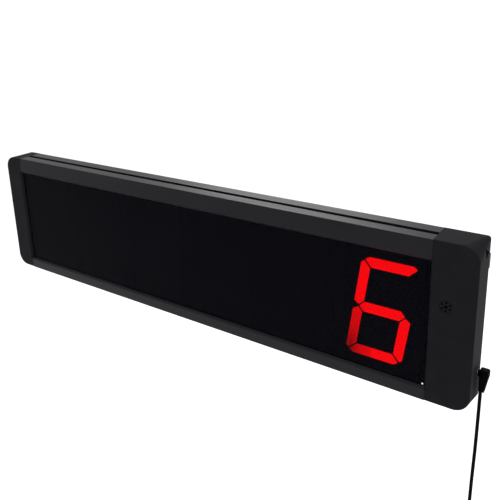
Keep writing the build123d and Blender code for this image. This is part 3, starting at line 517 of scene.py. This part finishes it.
def lit_segment():
    """Glowing red diffuser, weaker down its lower left stroke."""
    finish = Finish("lit_red_segment", rough=0.4, specular=0.05)
    finish.mottle(300, 2, (0.20, 0.002, 0.001), (0.26, 0.003, 0.0015))
    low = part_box("digit_6_lit_segments")[0]
    squash = (2.2, 0, 0.9)
    foot = (low.x + 0.004, 0, low.z + 0.006)
    away = finish.add("ShaderNodeVectorMath", operation="DISTANCE")
    finish.join(finish.placed(squash), away.inputs[0])
    away.inputs[1].default_value = [place * share for place, share in zip(foot, squash)]
    shade = finish.between(away.outputs["Value"], 0.0, 1.0, 0.0, 0.050)
    glow = finish.shades(
        shade,
        (0.0, (0.17, 0.0001, 0.0003)),
        (0.22, (0.42, 0.0001, 0.0005)),
        (0.45, (0.62, 0.0001, 0.0007)),
        (0.86, (0.76, 0.0001, 0.0008)),
        (1.0, (1.0, 0.0001, 0.0009)),
    )
    finish.join(glow, finish.shader.inputs["Emission Color"])
    finish.shader.inputs["Emission Strength"].default_value = 18.8
    return finish


def dark_segment():
    """Unlit diffuser: dull tinted resin that stays dark behind the lens."""
    finish = Finish("unlit_segment", specular=0.15)
    finish.mottle(420, 3, (0.006, 0.004, 0.004), (0.010, 0.006, 0.006))
    finish.polish(finish.between(finish.speckle(900, 2), 0.5, 0.6))
    finish.relief(finish.speckle(1800, 2), 0.00002, 0.3)
    return finish


def dull_black(name, grain=1800, shade=0.012, rough=0.6, specular=0.25):
    """Plain black moulding with a fine grain."""
    colour = (shade, shade, shade * 1.04)
    finish = Finish(name, specular=specular)
    finish.mottle(120, 3, scaled(colour, 0.8), scaled(colour, 1.25))
    finish.polish(finish.between(finish.speckle(grain, 3), rough - 0.06, rough + 0.06))
    finish.relief(finish.speckle(grain, 3), 0.00003, 0.35)
    return finish


def black_foam():
    """Black closed-cell foam strip."""
    finish = Finish("black_foam", rough=0.9, specular=0.1)
    cells = finish.cells(1400)
    finish.paint(finish.shades(cells, (0.0, (0.004, 0.004, 0.004)), (0.8, (0.009, 0.009, 0.009))))
    finish.relief(cells, 0.0002, 0.6)
    return finish


def panel_coat():
    """Matt black sheet with the long faint marks of rolling."""
    finish = Finish("panel_coat", specular=0.18)
    marks = finish.speckle(900, 3, (0.02, 1, 1))
    finish.mottle(45, 3, (0.009, 0.009, 0.0095), (0.013, 0.013, 0.0135))
    finish.polish(finish.between(marks, 0.5, 0.62))
    finish.relief(marks, 0.00002, 0.4)
    return finish


def worked_metal(name, colour, rough, stretch, grain=1600):
    """Bright metal with fine marks drawn out one way and cloudy plating."""
    finish = Finish(name, metal=1.0)
    marks = finish.speckle(grain, 3, stretch)
    clouds = finish.speckle(160, 4)
    finish.paint(finish.shades(clouds, (0.3, scaled(colour, 0.82)), (0.7, colour)))
    finish.polish(finish.between(marks, rough - 0.07, rough + 0.09))
    finish.relief(marks, 0.00002, 0.4)
    return finish


def hanger_coat():
    """Black powder coat with a fine orange-peel skin."""
    finish = Finish("hanger_powder_coat", specular=0.35)
    finish.mottle(240, 3, (0.012, 0.012, 0.012), (0.02, 0.02, 0.02))
    finish.polish(finish.between(finish.speckle(1300, 3), 0.45, 0.58))
    finish.relief(finish.speckle(1300, 4), 0.00005, 0.5)
    return finish


def solder_mask():
    """Green board: straight copper runs showing through the mask, and a bright pad here and there."""
    finish = Finish("green_board", rough=0.42)
    runs = finish.add("ShaderNodeTexBrick")
    runs.inputs["Scale"].default_value = 260
    runs.inputs["Mortar Size"].default_value = 0.06
    runs.inputs["Color1"].default_value = (0.010, 0.085, 0.030, 1)
    runs.inputs["Color2"].default_value = (0.014, 0.105, 0.038, 1)
    runs.inputs["Mortar"].default_value = (0.030, 0.180, 0.070, 1)
    finish.join(finish.placed(turn=(math.pi / 2, 0, 0)), runs.inputs["Vector"])
    mix = finish.add("ShaderNodeMix", data_type="RGBA")
    finish.join(finish.between(finish.cells(150), 1.0, 0.0, 0.10, 0.13), mix.inputs["Factor"])
    finish.join(runs.outputs["Color"], mix.inputs["A"])
    mix.inputs["B"].default_value = (0.62, 0.50, 0.22, 1)
    finish.paint(mix.outputs["Result"])
    finish.relief(runs.outputs["Fac"], 0.00003, 0.4)
    return finish


def light_chip():
    """Pale chip package with a warm yellow tint in patches."""
    finish = Finish("light_chip", rough=0.35)
    patches = finish.speckle(700, 2)
    finish.paint(finish.shades(patches, (0.4, (0.66, 0.62, 0.48)), (0.6, (0.82, 0.80, 0.72))))
    finish.relief(finish.speckle(1500, 2), 0.00002, 0.3)
    return finish


def flat_cable():
    """Grey ribbon cable: a groove between one conductor and the next across Z."""
    finish = Finish("flat_cable", rough=0.5)
    grooves = finish.bands("Z", 0.00127)
    finish.paint(finish.shades(grooves, (0.0, (0.20, 0.20, 0.21)), (0.6, (0.42, 0.42, 0.44))))
    finish.relief(grooves, 0.0002, 0.7)
    return finish


def shrink_sleeve():
    """Dark blue sleeve of a capacitor with a pale polarity stripe."""
    finish = Finish("capacitor_sleeve", rough=0.35)
    stripe = finish.bands("X", 0.009)
    blue, darker, pale = (0.012, 0.018, 0.055), (0.010, 0.014, 0.045), (0.4, 0.42, 0.5)
    finish.paint(finish.shades(stripe, (0.0, darker), (0.88, blue), (0.94, pale)))
    finish.relief(finish.speckle(800, 2), 0.00002, 0.3)
    return finish


def ferrite():
    """Grey ferrite core and taped winding."""
    finish = Finish("ferrite_core", rough=0.7)
    tape = finish.bands("Z", 0.004, 0.4)
    finish.paint(finish.shades(tape, (0.35, (0.035, 0.035, 0.038)), (0.65, (0.16, 0.11, 0.02))))
    finish.relief(finish.speckle(1200, 4), 0.0001, 0.4)
    return finish


def cord_jacket():
    """Smooth black jacket with the faint ripple of its strands."""
    finish = Finish("cord_jacket", specular=0.03)
    finish.mottle(420, 3, (0.0008, 0.0008, 0.0009), (0.0015, 0.0015, 0.0017))
    finish.polish(finish.between(finish.speckle(700, 3), 0.42, 0.55))
    finish.relief(finish.speckle(950, 2), 0.00005, 0.35)
    return finish


def adapter_grain():
    """Adapter case: black moulding with a coarser grain than the end caps."""
    finish = Finish("adapter_grain", specular=0.35)
    finish.mottle(90, 4, (0.011, 0.011, 0.012), (0.016, 0.016, 0.017))
    finish.polish(finish.between(finish.speckle(1300, 3), 0.46, 0.62))
    finish.relief(finish.cells(1500), 0.00008, 0.5)
    return finish


# ---------------------------------------------------------------- making

def dress_case():
    """Case, lens and hangers."""
    satin_profile().give("top_profile", "bottom_profile")
    panel_coat().give("back_panel")
    moulded_cap().give("left_end_cap", "right_end_cap")
    smoked_lens().give("front_lens")
    black_foam().give("lens_seal_strips")
    hanger_coat().give("left_wall_hanger", "right_wall_hanger")
    zinc = worked_metal("zinc_screws", (0.56, 0.56, 0.55), 0.34, (1, 0.3, 1))
    zinc.give("case_screws", "control_screws")


def make_painted_glint():
    """Small pale dot whose glow paints a highlight at the lens's corner; it is not a lamp."""
    glint = make_piece("corner_painted_glint", glint_dome())
    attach(glint, "timer")
    finish = Finish("painted_glint_glow", rough=0.3, specular=0.3)
    finish.mottle(900, 2, (0.5, 0.5, 0.52), (0.6, 0.6, 0.62))
    # The emission is painted highlight: the dot stands in for a bright speck, not a real light
    finish.shader.inputs["Emission Color"].default_value = (0.8, 0.8, 0.85, 1)
    finish.shader.inputs["Emission Strength"].default_value = 0.5
    finish.give(glint)


def dress_display():
    """Digits, colons and the board behind them."""
    digits = range(1, 7)
    dull_black("reflector_black").give(
        *[f"digit_{n}_reflector" for n in digits], "colon_1_block", "colon_2_block"
    )
    dark_segment().give(
        *[f"digit_{n}_segments" for n in digits if n < 6], "digit_6_dark_segment", "colon_dots"
    )
    lit_segment().give("digit_6_lit_segments")
    light_chip().give("segment_leds")


def dress_electronics():
    """Boards and what is on them."""
    solder_mask().give("display_board", "control_board", "adapter_board")
    dull_black("chip_black", 2400, 0.02, 0.5).give(
        "driver_chips", "microcontroller", "voltage_regulator", "buzzer", "remote_receiver"
    )
    dull_black("connector_black", 1500, 0.009, 0.5, 0.12).give(
        "display_connector", "control_connector", "coin_cell_holder", "dc_jack"
    )
    flat_cable().give("ribbon_cable")
    tin = worked_metal("tin_plate", (0.72, 0.71, 0.68), 0.3, (1, 1, 0.2))
    tin.give("clock_crystal", "coin_cell", "dc_jack_tails", "control_standoffs")
    nickel = worked_metal("nickel_plate", (0.78, 0.76, 0.70), 0.2, (0.2, 1, 1))
    nickel.give("dc_jack_pin", "dc_plug_barrel", "adapter_blades")
    shrink_sleeve().give("filter_capacitors", "adapter_capacitor")
    ferrite().give("adapter_transformer")


def make_power_lead():
    """The lead with its plug, boot, tie and adapter, all on the body that pulls out."""
    cord = make_lead()
    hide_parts("power_cord", "cord_coil", "adapter_cord")
    plug = make_piece("plug_moulding", plug_moulding())
    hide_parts("dc_plug_body", "plug_strain_relief")
    collar = make_piece("plug_collar", plug_collar())
    boot = make_piece("adapter_boot", adapter_boot())
    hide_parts("adapter_strain_relief")
    band = make_piece("tie_band", tie_band())
    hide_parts("cord_tie")
    twist = make_piece("tie_twist", tie_twist())
    cord_jacket().give(cord)
    dull_black("plug_black", 1600, 0.0010, 0.6, 0.025).give(plug, collar, band, twist)
    dull_black("boot_black", 1600, 0.0010, 0.6, 0.025).give(boot)
    adapter_grain().give("adapter_case")
    for piece in (cord, plug, collar, boot, band, twist):
        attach(piece, "power_lead")


def light_room():
    """Even pale room light, a broad lamp overhead and a soft one behind, both aimed at the case."""
    world = bpy.data.worlds.new("pale_room")
    world.use_nodes = True
    glow = world.node_tree.nodes["Background"]
    glow.inputs["Color"].default_value = (1.0, 1.0, 1.0, 1)
    glow.inputs["Strength"].default_value = ROOM_STRENGTH
    bpy.context.scene.world = world
    for name, (place, size, power) in LAMPS.items():
        lamp = bpy.data.lights.new(name, "AREA")
        lamp.shape = "SQUARE"
        lamp.size = size
        lamp.energy = power
        holder = bpy.data.objects.new(name, lamp)
        holder.visible_camera = False
        holder.location = place
        holder.rotation_mode = "QUATERNION"
        holder.rotation_quaternion = (-Vector(place)).to_track_quat("-Z", "Y")
        bpy.context.scene.collection.objects.link(holder)


def lay_floor():
    """Plain pale floor far below."""
    mesh = bpy.data.meshes.new("floor")
    corners = [(x * FLOOR_HALF, y * FLOOR_HALF, FLOOR_Z) for x, y in ((-1, -1), (1, -1), (1, 1), (-1, 1))]
    mesh.from_pydata(corners, [], [(0, 1, 2, 3)])
    floor = bpy.data.objects.new("floor", mesh)
    bpy.context.scene.collection.objects.link(floor)
    finish = Finish("pale_floor", rough=0.9, specular=0.1)
    finish.mottle(0.6, 2, (0.985, 0.985, 0.985), (0.995, 0.995, 0.995))
    finish.give(floor)


place_camera()
make_power_lead()
dress_case()
dress_display()
make_painted_glint()
dress_electronics()
light_room()
lay_floor()
bpy.context.scene.view_settings.view_transform = "Standard"
